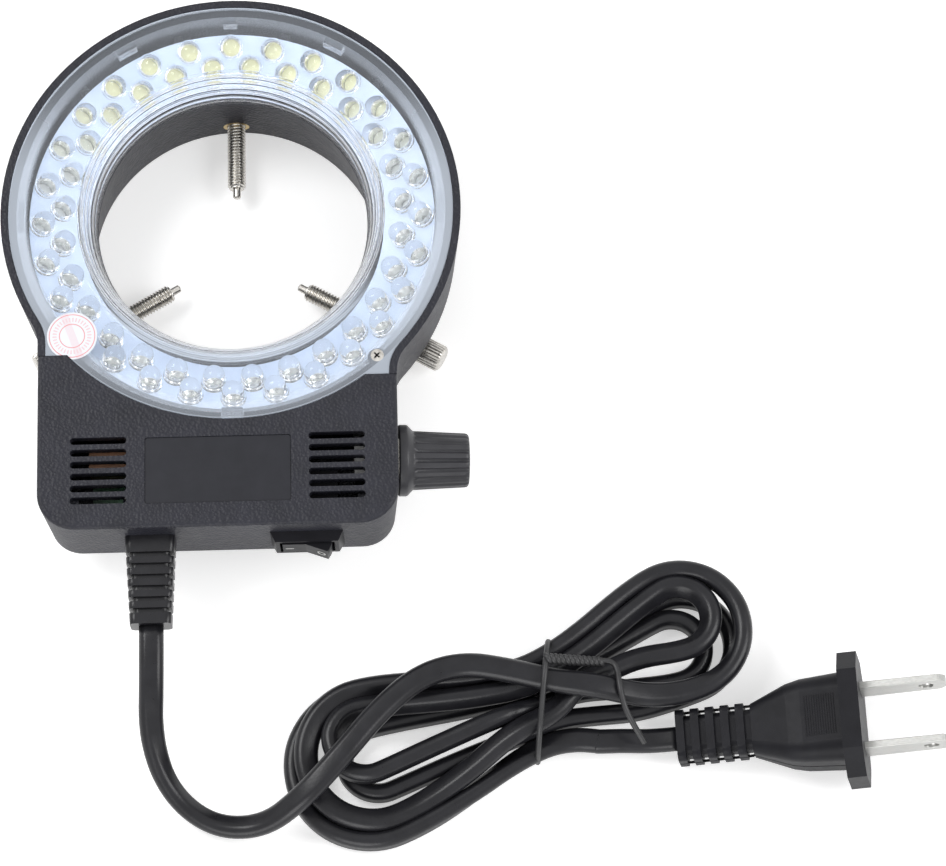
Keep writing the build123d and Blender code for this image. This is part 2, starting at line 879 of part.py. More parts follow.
def hank_path():
    nodes = hank_nodes()
    edges, points, radii = [], [], []
    for a, b in zip(nodes, nodes[1:]):
        p, q = hank_at(*a[:3]), hank_at(*b[:3])
        t, s = heading(*a[3:]), heading(*b[3:])
        mid = joined(p, t, q, s)
        for p0, p1 in ((p, mid), (mid, q)):
            edge, end, bend = arc_edge(p0, t, p1)
            edges.append(edge)
            count = ceil(edge.length / cord_r * 2)
            points += [edge @ (i / count) for i in range(count)]
            if bend:
                radii.append(bend[0])
            t = end
    return Wire(edges), points, min(radii)


def least_gap(points):
    # least distance between far parts of the path, less one tube
    along = [0.0]
    for a, b in zip(points, points[1:]):
        along.append(along[-1] + (b - a).length)
    flat = [(p.X, p.Y, p.Z) for p in points]
    far = 7 * cord_r
    best = ring_r
    for i, a in enumerate(flat):
        for j in range(i + 1, len(flat)):
            if along[j] - along[i] > far:
                b = flat[j]
                best = min(best, (a[0] - b[0]) ** 2 + (a[1] - b[1]) ** 2 + (a[2] - b[2]) ** 2)
    return sqrt(best) - 2 * cord_r


def cord_hank():
    path, points, tightest = hank_path()
    print("hank length", round(path.length, 1), "tightest", round(tightest, 2), "gap", round(least_gap(points), 3))
    print("hank ends", path @ 0, path @ 1)
    start = Plane(origin=path @ 0, z_dir=path % 0)
    tube = sweep(start * Circle(cord_r), path=path)
    print("hank volume share", round(tube.volume / (pi * cord_r ** 2 * path.length), 4))
    return tube


def cord_tie():
    corners = [(tie_x, y, z) for y, z in tie_loop]
    loop = FilletPolyline(*corners, radius=tie_corner, close=True)
    start = Plane(origin=loop @ 0, z_dir=loop % 0)
    tie = sweep(start * Circle(tie_r), path=loop)
    stub = Line(*tie_stub)
    tie += sweep(Plane(origin=stub @ 0, z_dir=stub % 0) * Circle(tie_stub_r), path=stub)
    tail = FilletPolyline(*tie_tail, radius=tie_corner * 2 / 3)
    tie += sweep(Plane(origin=tail @ 0, z_dir=tail % 0) * Circle(tie_r), path=tail)
    return tie


turn_a = radians(plug_heading)
pitch_a = radians(plug_pitch)
plug_plane = Plane(
    origin=plug_at,
    x_dir=(-sin(turn_a), cos(turn_a), 0),
    z_dir=(cos(turn_a) * cos(pitch_a), sin(turn_a) * cos(pitch_a), sin(pitch_a)),
)
flange_z = throat_l + body_sections[-1][0]
face_z = flange_z + flange_t


def blade(side):
    shape = Rectangle(blade_h, blade_l + blade_root, align=(Align.CENTER, Align.MIN))
    shape = chamfer(shape.vertices().sort_by(Axis.Y)[-2:], blade_corner)
    shape -= Pos(0, blade_l + blade_root - blade_hole_in) * Circle(blade_hole_r)
    plate = extrude(shape, blade_t / 2, both=True)
    return Pos(side * blade_gap / 2, 0, face_z - blade_root) * Rot(0, -90, 0) * Rot(0, 0, -90) * plate


def plug_body():
    plug = extrude(RectangleRounded(ribs_core_w, ribs_core_h, ribs_core_h / 3), throat_l)
    for i in range(plug_ribs):
        rib = RectangleRounded(ribs_w, ribs_h, ribs_h / 4)
        plug += extrude(Pos(0, 0, i * rib_pitch) * rib, rib_t)
    sections = [Pos(0, 0, throat_l + z) * RectangleRounded(w, h, r) for z, w, h, r in body_sections]
    plug += loft(sections, ruled=True)
    plate = chamfer(Rectangle(flange_w, flange_h).vertices(), flange_corner)
    plug += extrude(Pos(0, 0, flange_z) * plate, flange_t)
    for side in (-1, 1):
        plug -= blade(side)
    return plug_plane * plug


def led_wires():
    made = []
    low = driver_z + driver_t
    for x in wire_x:
        r = hypot(x, wire_top_y)
        high = board_z(r) - board_drop - wire_r * tan(board_slope) - wire_gap
        bend_z = low + wire_rise
        points = [(x, wire_root_y, low), (x, wire_root_y, bend_z), (x, wire_top_y, bend_z), (x, wire_top_y, high)]
        rise = high - low - wire_rise
        bend = min(3 * wire_r, abs(rise) * 0.8)
        path = FilletPolyline(*points, radius=bend)
        made.append(sweep(Plane(origin=path @ 0, z_dir=path % 0) * Circle(wire_r), path=path))
    return made


def seal_sticker():
    area = plan(rim_t + fit_gap) - below_ears(-fit_gap) + Circle(lens_r)
    return extrude(Pos(0, 0, lens_seat_z + lens_t) * ((Pos(seal_x, seal_y) * Circle(seal_r)) & area), seal_t)


def save(name, shape):
    if isinstance(shape, list):
        solids = [s for item in shape for s in item.solids()]
    else:
        solids = list(shape.solids())
    shape = solids[0] if len(solids) == 1 else Compound(children=solids)
    shape.label = name
    export_step(shape, "parts/" + name + ".step")
    print(name, len(solids), round(sum(s.volume for s in solids), 1))


save("rear_housing", rear_housing())
save("front_cover", front_cover())
save("lens_cover", lens_cover())
save("lens_screws", lens_screws())
save("led_board", led_board())
save("leds_inner", led_row(led_in_r, 0.5))
save("leds_outer", led_row(led_out_r, 0))
save("threaded_inserts", [insert(angle) for angle, _ in clamps])
for number, (angle, r) in enumerate(clamps, 1):
    save("clamp_tip_%d" % number, clamp_tip(angle, r))
    save("clamp_stud_%d" % number, clamp_stud(angle, r))
    save("clamp_head_%d" % number, clamp_head(angle, r))
save("dimmer_knob", dimmer_knob())
save("dimmer_shaft", knob_plane * post(0, 0, -shaft_low, shaft_r, shaft_low + shaft_high))
save("potentiometer", potentiometer())
nut = RegularPolygon(nut_w / 2, 6, major_radius=False) - Circle(bush_r)
save("pot_nut", knob_plane * extrude(nut, nut_t))
save("switch_bezel", switch_bezel())
save("switch_rocker", switch_rocker())
save("cord_relief", cord_relief())
save("driver_board", driver_board())
driver_top = driver_z + driver_t
save("electrolytic_capacitors", [post(x, y, driver_top, cap_r, cap_l) for x, y in cap_spots])
save("film_capacitor", Pos(film_x, film_y, driver_top) * Box(film_w, film_h, film_l, align=LOW))
save("transformer", transformer())
save("bridge_rectifier", Pos(bridge_x, bridge_y, driver_top) * Box(bridge_w, bridge_h, bridge_t, align=LOW))
save("board_screws", screws(
    board_posts, driver_top, board_head_r, board_head_t, board_shank_r, board_shank_l, True
))
save("housing_screws", screws(
    lid_posts, shell_z + lid_sink_h, lid_head_r, lid_head_t, lid_shank_r, lid_shank_l, False
))
save("led_wires", led_wires())
save("power_cord_lead", free_tube(lead_points, cord_r, "lead"))
save("power_cord_hank", cord_hank())
save("power_cord_tail", free_tube(tail_points, cord_r, "tail"))
save("cord_tie", cord_tie())
save("plug_body", plug_body())
save("plug_blades", [plug_plane * blade(side) for side in (-1, 1)])
save("seal_sticker", seal_sticker())
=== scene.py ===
import bpy
from math import atan2, ceil, cos, hypot, pi, radians, sin, tan
from mathutils import Matrix, Vector

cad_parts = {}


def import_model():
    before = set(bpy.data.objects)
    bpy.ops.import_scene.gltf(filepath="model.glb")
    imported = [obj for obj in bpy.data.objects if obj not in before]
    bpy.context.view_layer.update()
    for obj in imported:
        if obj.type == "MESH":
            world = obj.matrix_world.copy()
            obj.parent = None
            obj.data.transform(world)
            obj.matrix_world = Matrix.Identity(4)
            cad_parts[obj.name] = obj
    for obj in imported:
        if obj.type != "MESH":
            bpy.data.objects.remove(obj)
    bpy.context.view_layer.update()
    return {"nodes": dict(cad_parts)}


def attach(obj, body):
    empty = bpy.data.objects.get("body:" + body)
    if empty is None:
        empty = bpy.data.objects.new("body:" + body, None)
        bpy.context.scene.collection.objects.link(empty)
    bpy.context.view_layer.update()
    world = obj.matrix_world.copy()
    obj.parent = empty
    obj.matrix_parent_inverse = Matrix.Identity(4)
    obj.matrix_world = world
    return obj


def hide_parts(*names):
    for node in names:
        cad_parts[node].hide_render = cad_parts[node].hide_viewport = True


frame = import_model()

MM = 0.001


# materials

class Paint:
    # one principled material with object coordinates

    def __init__(self, name, color, rough, **sockets):
        self.mat = bpy.data.materials.new(name)
        self.mat.use_nodes = True
        self.tree = self.mat.node_tree
        self.shader = self.tree.nodes["Principled BSDF"]
        self.shader.inputs["Base Color"].default_value = (*color, 1)
        self.shader.inputs["Roughness"].default_value = rough
        for key, value in sockets.items():
            self.shader.inputs[key.replace("_", " ")].default_value = value
        self.coord = self.node("ShaderNodeTexCoord").outputs["Object"]
        self.normal = None

    def node(self, kind, **props):
        n = self.tree.nodes.new(kind)
        for key, value in props.items():
            setattr(n, key, value)
        return n

    def link(self, a, b):
        self.tree.links.new(a, b)

    def math(self, op, a, b=None, clamp=False):
        n = self.node("ShaderNodeMath", operation=op, use_clamp=clamp)
        for slot, value in zip(n.inputs, (a, b)):
            if value is None:
                continue
            if isinstance(value, (int, float)):
                slot.default_value = value
            else:
                self.link(value, slot)
        return n.outputs[0]

    def place(self):
        # x, y, z in millimetres and the distance from the bore's axis
        split = self.node("ShaderNodeSeparateXYZ")
        self.link(self.coord, split.inputs[0])
        x, y, z = (self.math("MULTIPLY", split.outputs[k], 1000.0) for k in "XYZ")
        return x, y, z, self.distance(x, y)

    def distance(self, x, y):
        squares = self.math("ADD", self.math("MULTIPLY", x, x), self.math("MULTIPLY", y, y))
        return self.math("SQRT", squares)

    def rest(self, value):
        return self.math("SUBTRACT", 1.0, value)

    def near(self, value, middle, half):
        # 1 within half of the middle, else 0
        away = self.math("ABSOLUTE", self.math("SUBTRACT", value, middle))
        return self.math("LESS_THAN", away, half)

    def step(self, value, low, high):
        # smooth rise from 0 to 1
        n = self.node("ShaderNodeMapRange", interpolation_type="SMOOTHSTEP")
        n.inputs["From Min"].default_value = low
        n.inputs["From Max"].default_value = high
        self.link(value, n.inputs["Value"])
        return n.outputs["Result"]

    def noise(self, size, detail=3.0, stretch=(1, 1, 1)):
        shift = self.node("ShaderNodeMapping")
        shift.inputs["Scale"].default_value = stretch
        self.link(self.coord, shift.inputs["Vector"])
        n = self.node("ShaderNodeTexNoise")
        n.inputs["Scale"].default_value = 1 / (size * MM)
        n.inputs["Detail"].default_value = detail
        self.link(shift.outputs[0], n.inputs["Vector"])
        return n.outputs["Fac"]

    def cells(self, size, smooth=0.5):
        n = self.node("ShaderNodeTexVoronoi", feature="SMOOTH_F1")
        n.inputs["Scale"].default_value = 1 / (size * MM)
        n.inputs["Smoothness"].default_value = smooth
        self.link(self.coord, n.inputs["Vector"])
        return n.outputs["Distance"]

    def ramp(self, value, stops):
        r = self.node("ShaderNodeValToRGB")
        while len(r.color_ramp.elements) < len(stops):
            r.color_ramp.elements.new(0.5)
        for element, (at, color) in zip(r.color_ramp.elements, stops):
            element.position = at
            element.color = (*color, 1)
        self.link(value, r.inputs["Fac"])
        return r.outputs["Color"]

    def mottle(self, dark, light, size, detail=4.0, stretch=(1, 1, 1)):
        color = self.ramp(self.noise(size, detail, stretch), [(0.3, dark), (0.7, light)])
        self.link(color, self.shader.inputs["Base Color"])
        return self

    def rough_between(self, low, high, size, stretch=(1, 1, 1)):
        span = self.node("ShaderNodeMapRange")
        span.inputs["To Min"].default_value = low
        span.inputs["To Max"].default_value = high
        self.link(self.noise(size, 3.0, stretch), span.inputs["Value"])
        self.link(span.outputs["Result"], self.shader.inputs["Roughness"])
        return self

    def bump(self, height, depth):
        b = self.node("ShaderNodeBump")
        b.inputs["Distance"].default_value = depth * MM
        b.inputs["Strength"].default_value = 1.0
        self.link(height, b.inputs["Height"])
        if self.normal:
            self.link(self.normal, b.inputs["Normal"])
        self.normal = b.outputs["Normal"]
        self.link(self.normal, self.shader.inputs["Normal"])
        return self


def lets_light_through(p):
    # lamp light reaches what lies under the clear part, less a small loss
    out = p.tree.nodes["Material Output"].inputs["Surface"]
    surface = out.links[0].from_socket
    path = p.node("ShaderNodeLightPath")
    through = p.node("ShaderNodeBsdfTransparent")
    through.inputs["Color"].default_value = (0.9, 0.9, 0.9, 1)
    mix = p.node("ShaderNodeMixShader")
    p.link(path.outputs["Is Shadow Ray"], mix.inputs["Fac"])
    p.link(surface, mix.inputs[1])
    p.link(through.outputs[0], mix.inputs[2])
    p.link(mix.outputs[0], out)
    return p.mat


def hazy(p, share, color):
    # a share of white haze over the clear shader
    haze = p.node("ShaderNodeBsdfDiffuse")
    haze.inputs["Color"].default_value = (*color, 1)
    mix = p.node("ShaderNodeMixShader")
    p.link(share, mix.inputs["Fac"])
    p.link(p.shader.outputs[0], mix.inputs[1])
    p.link(haze.outputs[0], mix.inputs[2])
    p.link(mix.outputs[0], p.tree.nodes["Material Output"].inputs["Surface"])
    return lets_light_through(p)


def moulding():
    p = Paint("housing_grain", (0.03, 0.03, 0.034), 0.5)
    p.shader.inputs["Specular IOR Level"].default_value = 0.3
    p.mottle((0.012, 0.0125, 0.018), (0.019, 0.0195, 0.028), 6.0)
    p.rough_between(0.4, 0.56, 2.0)
    return p.bump(p.cells(0.6, 0.35), 0.14).bump(p.noise(0.3, 2.0), 0.045).mat


def satin(name, dark, light, low, high, fine=0.25, depth=0.012, shine=0.5):
    p = Paint(name, light, low)
    p.shader.inputs["Specular IOR Level"].default_value = shine
    p.mottle(dark, light, 4.0)
    p.rough_between(low, high, 1.5)
    return p.bump(p.noise(fine, 2.0), depth).mat


def metal(name, dark, light, low, high, stretch=(1, 1, 1), size=0.8):
    p = Paint(name, light, low, Metallic=1.0)
    p.mottle(dark, light, size, 4.0, stretch)
    p.rough_between(low, high, size, stretch)
    return p.bump(p.noise(size / 3, 2.0, stretch), 0.006).mat


def epoxy():
    color = (0.99, 0.995, 1.0)
    p = Paint("led_epoxy", color, 0.01, Transmission_Weight=1.0, IOR=1.5)
    p.mottle(tuple(c * 0.98 for c in color), color, 3.0)
    p.rough_between(0.007, 0.014, 1.5)
    return lets_light_through(p.bump(p.noise(0.75, 2.0), 0.002))


def window():
    # clear sheet, a little milky towards its rim; the extra milkiness at the low side and the sides
    # is painted light, its outer edge carries a painted highlight, and pale rings on its inner lip
    # at the low side are a painted reflection
    p = Paint("window_clear", (0.97, 0.985, 1.0), 0.03, Transmission_Weight=1.0, IOR=1.45)
    p.mottle((0.95, 0.97, 0.99), (0.98, 0.99, 1.0), 8.0)
    p.rough_between(0.02, 0.05, 5.0)
    p.bump(p.noise(3.0, 2.0), 0.003)
    x, y, _, r = p.place()
    # painted light: more milkiness towards the low side and the sides
    low = p.rest(p.step(y, 5.0, 36.0))
    side = p.step(p.math("ABSOLUTE", x), 24.0, 44.0)
    milky_and_painted_light = p.math("ADD", 0.1, p.math("MULTIPLY", p.math("MULTIPLY", side, low), 0.3))
    milky_and_painted_light = p.math("ADD", milky_and_painted_light, p.math("MULTIPLY", low, 0.14))
    band = p.step(r, 42.2, 43.4)
    haze = p.math("ADD", 0.05, p.math("MULTIPLY", band, milky_and_painted_light))
    cloud = p.math("MULTIPLY", p.math("SUBTRACT", p.noise(9.0), 0.5), 0.06)
    haze = p.math("ADD", haze, cloud, True)
    # painted highlight: white haze on the rim's outer edge
    edge = p.step(r, 46.05, 46.2)
    haze = p.math("MAXIMUM", haze, p.math("MULTIPLY", edge, 0.6))
    # painted reflection: pale rings on the inner lip, on the low side only
    lip = p.math("MULTIPLY", p.rest(p.step(r, 33.6, 34.6)), p.rest(p.step(y, -28.0, -10.0)))
    lines = p.math("MULTIPLY", p.math("SINE", p.math("MULTIPLY", r, 7.0)), 0.26)
    lines = p.math("ADD", 0.36, lines)
    haze = p.math("MAXIMUM", haze, p.math("MULTIPLY", lip, lines))
    return hazy(p, haze, (0.6, 0.66, 0.75))


def sleeve():
    # clear funnel with fine turned rings, a little whitish; far whiter on the low side, where it is
    # seen edge on, which is a painted reflection
    p = Paint("sleeve_clear", (0.98, 0.99, 1.0), 0.02, Transmission_Weight=1.0, IOR=1.49)
    p.rough_between(0.01, 0.05, 2.0)
    _, y, z, _ = p.place()
    rings = p.math("SINE", p.math("MULTIPLY", z, 4.4))
    fine = p.math("SINE", p.math("MULTIPLY", z, 13.0))
    p.bump(rings, 0.08).bump(fine, 0.012)
    # painted reflection: the veil grows up to 3.4 times on the low side
    low = p.rest(p.step(y, -24.0, -4.0))
    veil_and_painted_reflection = p.math("MULTIPLY", p.math("GREATER_THAN", rings, 0.15), 0.2)
    veil_and_painted_reflection = p.math("ADD", 0.02, veil_and_painted_reflection)
    veil_and_painted_reflection = p.math("MULTIPLY", veil_and_painted_reflection, p.math("ADD", 1.0, p.math("MULTIPLY", low, 2.4)))
    return hazy(p, veil_and_painted_reflection, (0.8, 0.82, 0.86))


def phosphor_painted_light():
    # phosphor colour painted by place: full yellow at the far side of the ring, where light falls
    # on it through the domes, greyer towards the control box as painted shade
    p = Paint("phosphor_painted_light", (0.8, 0.8, 0.6), 0.45)
    _, y, _, _ = p.place()
    # painted light: the yellow fades away from the far side of the ring
    far = p.math("MULTIPLY", p.step(y, 8.0, 36.0), 0.85)
    tone = p.math("ADD", far, p.math("MULTIPLY", p.noise(0.5), 0.15))
    color = p.ramp(tone, [(0.0, (0.56, 0.59, 0.62)), (1.0, (0.86, 0.85, 0.47))])
    p.link(color, p.shader.inputs["Base Color"])
    p.rough_between(0.4, 0.5, 0.8)
    return p.bump(p.noise(0.3, 2.0), 0.01).mat


BLACK = moulding()
KNOB = satin("knob_satin", (0.03, 0.03, 0.034), (0.04, 0.04, 0.045), 0.3, 0.42, shine=0.35)
SWITCH = satin("switch_gloss", (0.01, 0.01, 0.012), (0.013, 0.013, 0.016), 0.26, 0.38, shine=0.05)
CORD = satin("cord_vinyl", (0.009, 0.009, 0.011), (0.015, 0.015, 0.018), 0.24, 0.36, 0.6, 0.02, 0.3)
PLUG = satin("plug_vinyl", (0.006, 0.006, 0.008), (0.01, 0.01, 0.013), 0.38, 0.5, 0.3, 0.02, 0.15)
PAINTED_SHADE_DARK = satin("painted_shade_dark", (0.005, 0.005, 0.006), (0.008, 0.008, 0.009), 0.5, 0.6, shine=0.1)
LABEL = satin("label_satin", (0.013, 0.0135, 0.018), (0.017, 0.0175, 0.023), 0.42, 0.5, shine=0.25)
TIE = satin("tie_vinyl", (0.012, 0.012, 0.013), (0.02, 0.02, 0.022), 0.4, 0.5)
NICKEL = metal("nickel", (0.5, 0.48, 0.45), (0.68, 0.66, 0.62), 0.2, 0.36)
BLADE = metal("blade_nickel", (0.4, 0.4, 0.385), (0.5, 0.5, 0.485), 0.26, 0.4, (1, 6, 6), 1.2)
SILVER = metal("led_frame", (0.82, 0.82, 0.8), (0.9, 0.9, 0.88), 0.2, 0.35)
BRASS = metal("brass", (0.55, 0.4, 0.17), (0.72, 0.55, 0.26), 0.25, 0.4)
# pot can and shaft in dark metal: painted shade for the dark inside of the box behind the vents
PAINTED_SHADE_CAN = metal("pot_can_painted_shade", (0.2, 0.2, 0.2), (0.3, 0.3, 0.3), 0.4, 0.55)
WINDOW = window()
SLEEVE_CLEAR = sleeve()
EPOXY = epoxy()
BOARD = satin("board_resist", (0.5, 0.6, 0.78), (0.56, 0.66, 0.83), 0.35, 0.45)
GREEN = satin("laminate", (0.02, 0.09, 0.04), (0.03, 0.13, 0.06), 0.3, 0.4)
SLEEVE = satin("cap_sleeve", (0.012, 0.014, 0.03), (0.02, 0.024, 0.05), 0.25, 0.35)
FILM = satin("film_dip", (0.16, 0.07, 0.03), (0.25, 0.11, 0.05), 0.25, 0.35)
FERRITE = satin("ferrite", (0.03, 0.03, 0.033), (0.06, 0.06, 0.065), 0.45, 0.6)
WIRE = satin("wire_red", (0.35, 0.02, 0.015), (0.45, 0.03, 0.02), 0.3, 0.4)
WHITE = satin("mark_white", (0.5, 0.5, 0.49), (0.6, 0.6, 0.58), 0.4, 0.5)
PHOSPHOR_PAINTED_LIGHT = phosphor_painted_light()

sleeve_edge_r = 33.6

finishes = {
    "rear_housing": BLACK, "front_cover": BLACK, "lens_cover": WINDOW, "lens_screws": NICKEL,
    "led_board": BOARD, "threaded_inserts": BRASS, "dimmer_shaft": PAINTED_SHADE_CAN, "potentiometer": PAINTED_SHADE_CAN,
    "pot_nut": NICKEL, "switch_bezel": SWITCH, "switch_rocker": SWITCH, "cord_relief": CORD,
    "driver_board": GREEN, "electrolytic_capacitors": SLEEVE, "film_capacitor": FILM,
    "transformer": FERRITE, "bridge_rectifier": SLEEVE, "board_screws": NICKEL,
    "housing_screws": NICKEL, "led_wires": WIRE, "plug_body": PLUG, "plug_blades": BLADE,
}
finishes.update({"clamp_tip_%d" % n: NICKEL for n in (1, 2, 3)})
for name, finish in finishes.items():
    mesh = frame["nodes"][name].data
    mesh.materials.clear()
    mesh.materials.append(finish)
lens = frame["nodes"]["lens_cover"].data
lens.materials.append(SLEEVE_CLEAR)
for face in lens.polygons:
    in_sleeve = hypot(face.center.x, face.center.y) < sleeve_edge_r * MM
    face.material_index = 1 if in_sleeve else 0


def rounded(name, width):
    # small radius on the sharp edges of a node
    node = frame["nodes"][name]
    weld = node.modifiers.new("weld", "WELD")
    weld.merge_threshold = 0.002 * MM
    bevel = node.modifiers.new("bevel", "BEVEL")
    bevel.width = width * MM
    bevel.segments = 2
    bevel.limit_method = "ANGLE"
    bevel.angle_limit = radians(35)
    bevel.harden_normals = True


rounded("plug_body", 0.35)
rounded("cord_relief", 0.25)
rounded("plug_blades", 0.2)
rounded("switch_bezel", 0.2)
rounded("switch_rocker", 0.25)


# mesh helpers

def add_mesh(name, verts, faces, finish, body, smooth=True, angle=None):
    mesh = bpy.data.meshes.new(name)
    mesh.from_pydata([Vector(v) * MM for v in verts], [], faces)
    mesh.validate()
    mesh.materials.append(finish)
    obj = bpy.data.objects.new(name, mesh)
    bpy.context.scene.collection.objects.link(obj)
    for p in mesh.polygons:
        p.use_smooth = smooth
    if angle:
        mesh.set_sharp_from_angle(angle=radians(angle))
    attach(obj, body)
    return obj


BOX_CORNERS = ((-1, -1), (1, -1), (1, 1), (-1, 1))
BOX_FACES = (
    (0, 3, 2, 1), (4, 5, 6, 7), (0, 1, 5, 4),
    (1, 2, 6, 5), (2, 3, 7, 6), (3, 0, 4, 7),
)


def grid(rows):
    # quads between rings of points, end rings capped
    verts = [v for row in rows for v in row]
    n = len(rows[0])
    faces = []
    for i in range(len(rows) - 1):
        for j in range(n):
            k = (j + 1) % n
            faces.append((i * n + j, i * n + k, (i + 1) * n + k, (i + 1) * n + j))
    faces.append(tuple(range(n))[::-1])
    faces.append(tuple((len(rows) - 1) * n + j for j in range(n)))
    return verts, faces


def axes(origin, z_dir, x_dir):
    # local frame: a function from local millimetres to the part's
    z = Vector(z_dir).normalized()
    x = Vector(x_dir)
    x = (x - z * x.dot(z)).normalized()
    y = z.cross(x)
    return lambda a, b, c: Vector(origin) + x * a + y * b + z * c


# LEDs: clear epoxy bodies with a cup, a die and two leads

board_in_r, board_in_z = 31.7, 20.0
board_run, board_climb = 10.8, 4.0
led_tilt = atan2(board_climb, board_run)
led_count = 28
led_sides, cup_sides = 28, 18
dome_r, dome_low, dome_steps = 2.32, 2.4, 9


def led_place(r, turn):
    a = radians(turn)
    out = Vector((cos(a), sin(a), 0))
    up = Vector((-sin(led_tilt) * cos(a), -sin(led_tilt) * sin(a), cos(led_tilt)))
    base = out * r + Vector((0, 0, board_in_z + (r - board_in_r) * board_climb / board_run))
    return axes(base, up, (-sin(a), cos(a), 0))


def turned_shape(at, profile, sides, verts, faces, capped=True):
    start = len(verts)
    for r, z in profile:
        for j in range(sides):
            a = 2 * pi * j / sides
            verts.append(at(r * cos(a), r * sin(a), z))
    for i in range(len(profile) - 1):
        for j in range(sides):
            k = (j + 1) % sides
            faces.append((start + i * sides + j, start + i * sides + k,
                          start + (i + 1) * sides + k, start + (i + 1) * sides + j))
    if capped:
        faces.append(tuple(start + j for j in range(sides))[::-1])
        faces.append(tuple(start + (len(profile) - 1) * sides + j for j in range(sides)))


def led_profile():
    dome = []
    for i in range(dome_steps + 1):
        a = radians(84 * i / dome_steps)
        dome.append((dome_r * cos(a), dome_low + dome_r * sin(a)))
    foot = [(2.5, 0.05), (2.72, 0.15), (2.74, 0.75), (2.62, 0.88), (2.4, 0.92), (2.34, 1.6)]
    return foot + dome


def led_post(at, x, y, w, t, low, high, verts, faces):
    start = len(verts)
    for z in (low, high):
        for a, b in BOX_CORNERS:
            verts.append(at(x + a * w / 2, y + b * t / 2, z))
    faces.extend(tuple(start + k for k in face) for face in BOX_FACES)


cup_profile = [
    (0.68, 0.12), (0.9, 0.12), (0.92, 1.1), (0.86, 1.16), (0.8, 1.1), (0.66, 0.4), (0.68, 0.12),
]
die_profile = [(0.64, 0.12), (0.64, 0.34), (0.2, 0.38)]


def led_rows():
    for name, r, shift in (("leds_inner", 36.1, 0.5), ("leds_outer", 40.0, 0.0)):
        body, body_faces, cup, cup_faces, die, die_faces = [], [], [], [], [], []
        for i in range(led_count):
            at = led_place(r, 90.0 + 360.0 * (i + shift) / led_count)
            turned_shape(at, led_profile(), led_sides, body, body_faces)
            turned_shape(at, cup_profile, cup_sides, cup, cup_faces, capped=False)
            led_post(at, 1.5, 0.0, 0.35, 0.7, 0.1, 1.5, cup, cup_faces)
            led_post(at, -1.4, 0.0, 0.3, 0.5, 0.1, 0.7, cup, cup_faces)
            turned_shape(at, die_profile, cup_sides, die, die_faces)
        shell = add_mesh(name + "_clear", body, body_faces, EPOXY, "lamp", angle=40)
        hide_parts(name)
        add_mesh(name + "_frames", cup, cup_faces, SILVER, "lamp", angle=40)
        add_mesh(name + "_dies", die, die_faces, PHOSPHOR_PAINTED_LIGHT, "lamp", angle=40)


led_rows()


# clamp screws: threads, knurled heads

clamp_z = 4.5
clamps = ((1, 90.0, 13.3), (2, 210.0, 14.15), (3, 330.0, 15.1))
pitch = 0.7
stud_r = 1.96
thread_low, thread_high = 2.15, 24.9
thread_depth = 0.42
thread_fade = 0.5
head_low = 25.0
knurl_depth = 0.26


def radial(angle, r):
    a = radians(angle)
    return axes((r * cos(a), r * sin(a), clamp_z), (cos(a), sin(a), 0), (-sin(a), cos(a), 0))


def thread(low, high, at):
    # rows of points follow the helix, so each crest is one clean line
    sides, per = 28, 8
    count = (ceil((high - low) / pitch) + 2) * per
    verts, heights, faces = [], [], []
    for i in range(count + 1):
        share = (i / per) % 1.0
        crest = min(1.0, max(0.0, 1.5 - abs(share - 0.5) * 3.4))
        for j in range(sides):
            z = min(high, max(low, low + (i / per - 1 + j / sides) * pitch))
            end = min(1.0, (z - low) / thread_fade, (high - z) / thread_fade)
            r = stud_r - thread_depth * (1 - crest * end)
            a = 2 * pi * j / sides
            verts.append(at(r * cos(a), r * sin(a), z))
            heights.append(z)
    for i in range(count):
        for j in range(sides):
            # past the last column the helix goes on one pitch higher
            k = i * sides + j + 1 if j + 1 < sides else (i + per) * sides
            quad = (i * sides + j, k, k + sides, (i + 1) * sides + j)
            levels = [heights[q] for q in quad if q < len(verts)]
            if len(levels) == 4 and max(levels) > min(levels):
                faces.append(quad)
    faces.append(tuple(range(sides))[::-1])
    faces.append(tuple(count * sides + j for j in range(sides)))
    return verts, faces


def knurled_head(at, low):
    rows, ribs, per = [], 26, 6
    steps = [
        (0.0, 2.35, 0), (0.35, 2.75, 0), (0.6, 2.88, 1), (9.3, 2.88, 1),
        (9.65, 2.7, 0), (10.0, 2.3, 0), (9.98, 1.0, 0),
    ]
    for z, r, cut in steps:
        row = []
        for j in range(ribs * per):
            share = (j % per) / per
            groove = max(0.0, cos(2 * pi * share)) * knurl_depth * cut
            a = 2 * pi * j / (ribs * per)
            row.append(at((r - groove) * cos(a), (r - groove) * sin(a), low + z))
        rows.append(row)
    return grid(rows)


for number, angle, r in clamps:
    at, body = radial(angle, r), "clamp_%d_screw" % number
    verts, faces = thread(thread_low, thread_high, at)
    stud = add_mesh("clamp_%d_thread" % number, verts, faces, NICKEL, body, angle=60)
    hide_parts("clamp_stud_%d" % number)
    verts, faces = knurled_head(at, head_low)
    head = add_mesh("clamp_%d_knurl" % number, verts, faces, NICKEL, body, angle=30)
    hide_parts("clamp_head_%d" % number)


# dimmer knob; the housing's walls lean in towards the front

front_z = 30
box_right, box_low = 34, -69.7
knob_y, knob_z = -52.9, 19.5
flute_depth = 0.52
lean = 1.3 / 20
wall_out = 1 / hypot(1, lean)
wall_down = lean * wall_out


